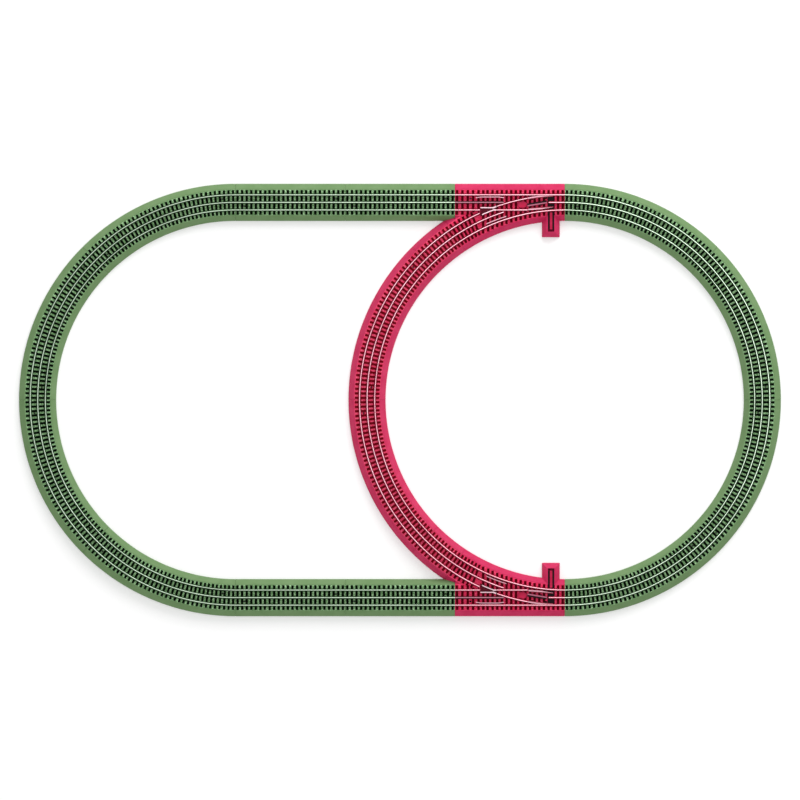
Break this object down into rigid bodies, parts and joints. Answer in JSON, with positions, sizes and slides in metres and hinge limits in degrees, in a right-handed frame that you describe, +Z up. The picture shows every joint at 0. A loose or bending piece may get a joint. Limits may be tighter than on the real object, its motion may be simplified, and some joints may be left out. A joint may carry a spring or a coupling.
{
  "type": "toy train track layout",
  "caption": "Three-rail toy train oval on moulded green roadbed, with a crimson passing loop and two hand-thrown turnouts whose points swing over.",
  "frame": {"origin": "centre of the layout on the surface it lies on", "axes": "+X along the long straights towards the loop, +Y across to the other straight, +Z up"},
  "size_m": [1.7622, 1.0002, 0.0254],
  "materials": {
    "green_roadbed": "grey-green moulded plastic, textured as ballast between near-black sleepers",
    "crimson_roadbed": "crimson moulded plastic, textured as ballast between dark maroon sleepers",
    "rail_metal": "bright plated rail with a polished running surface",
    "dull_rail_metal": "dull plated strip",
    "frog_metal": "die-cast metal, polished on top",
    "plated_steel": "plain zinc plate",
    "black_plastic": "black moulded plastic",
    "crimson_trim": "smooth crimson moulded plastic"
  },
  "bodies": {
    "root": {"bus_straps": "plated_steel", "curve_rails_1": "rail_metal", "curve_rails_2": "rail_metal", "curve_rails_3": "rail_metal", "curve_rails_4": "rail_metal", "curve_rails_5": "rail_metal", "curve_rails_6": "rail_metal", "curve_rails_7": "rail_metal", "curve_rails_8": "rail_metal", "curve_roadbed_1": "green_roadbed", "curve_roadbed_2": "green_roadbed", "curve_roadbed_3": "green_roadbed", "curve_roadbed_4": "green_roadbed", "curve_roadbed_5": "green_roadbed", "curve_roadbed_6": "green_roadbed", "curve_roadbed_7": "green_roadbed", "curve_roadbed_8": "green_roadbed", "detent_springs": "plated_steel", "fitter_rails_1": "rail_metal", "fitter_rails_2": "rail_metal", "fitter_roadbed_1": "crimson_roadbed", "fitter_roadbed_2": "crimson_roadbed", "left_turnout_centre_rails": "rail_metal", "left_turnout_frog": "frog_metal", "left_turnout_guard_rails": "rail_metal", "left_turnout_roadbed": "crimson_roadbed", "left_turnout_running_rails": "rail_metal", "loop_rails_1": "rail_metal", "loop_rails_2": "rail_metal", "loop_roadbed_1": "crimson_roadbed", "loop_roadbed_2": "crimson_roadbed", "rail_pins": "plated_steel", "retainer_screws": "plated_steel", "right_turnout_centre_rails": "rail_metal", "right_turnout_frog": "frog_metal", "right_turnout_guard_rails": "rail_metal", "right_turnout_roadbed": "crimson_roadbed", "right_turnout_running_rails": "rail_metal", "slide_retainers": "plated_steel", "straight_rails_1": "rail_metal", "straight_rails_2": "rail_metal", "straight_rails_3": "rail_metal", "straight_rails_4": "rail_metal", "straight_roadbed_1": "green_roadbed", "straight_roadbed_2": "green_roadbed", "straight_roadbed_3": "green_roadbed", "straight_roadbed_4": "green_roadbed"},
    "left_swivel": {"left_turnout_swivel_frame": "black_plastic", "left_turnout_pivot_cap": "crimson_trim", "left_turnout_point_blades": "rail_metal", "left_turnout_centre_blade": "dull_rail_metal"},
    "left_slide": {"left_turnout_throw_bar": "black_plastic", "left_turnout_throw_grip": "crimson_trim"},
    "right_swivel": {"right_turnout_swivel_frame": "black_plastic", "right_turnout_pivot_cap": "crimson_trim", "right_turnout_point_blades": "rail_metal", "right_turnout_centre_blade": "dull_rail_metal"},
    "right_slide": {"right_turnout_throw_bar": "black_plastic", "right_turnout_throw_grip": "crimson_trim"}
  },
  "joints": [
    {"name": "left_points_swivel", "type": "hinge", "parent": "root", "child": "left_swivel", "pos_m": [0.283, 0.4519, 0.017], "axis": [0, 0, -1], "range_deg": [0, 4.05]},
    {"name": "left_throw_slide", "type": "slide", "parent": "root", "child": "left_slide", "axis": [0, -1, 0], "range_m": [0, 0.0047]},
    {"name": "right_points_swivel", "type": "hinge", "parent": "root", "child": "right_swivel", "pos_m": [0.283, -0.4519, 0.017], "axis": [0, 0, 1], "range_deg": [0, 4.05]},
    {"name": "right_throw_slide", "type": "slide", "parent": "root", "child": "right_slide", "axis": [0, 1, 0], "range_m": [0, 0.0047]}
  ],
  "couplings": [
    {"joint": "left_throw_slide", "follows": "left_points_swivel", "m_per_rad": 0.06645},
    {"joint": "right_throw_slide", "follows": "right_points_swivel", "m_per_rad": 0.06645}
  ]
}
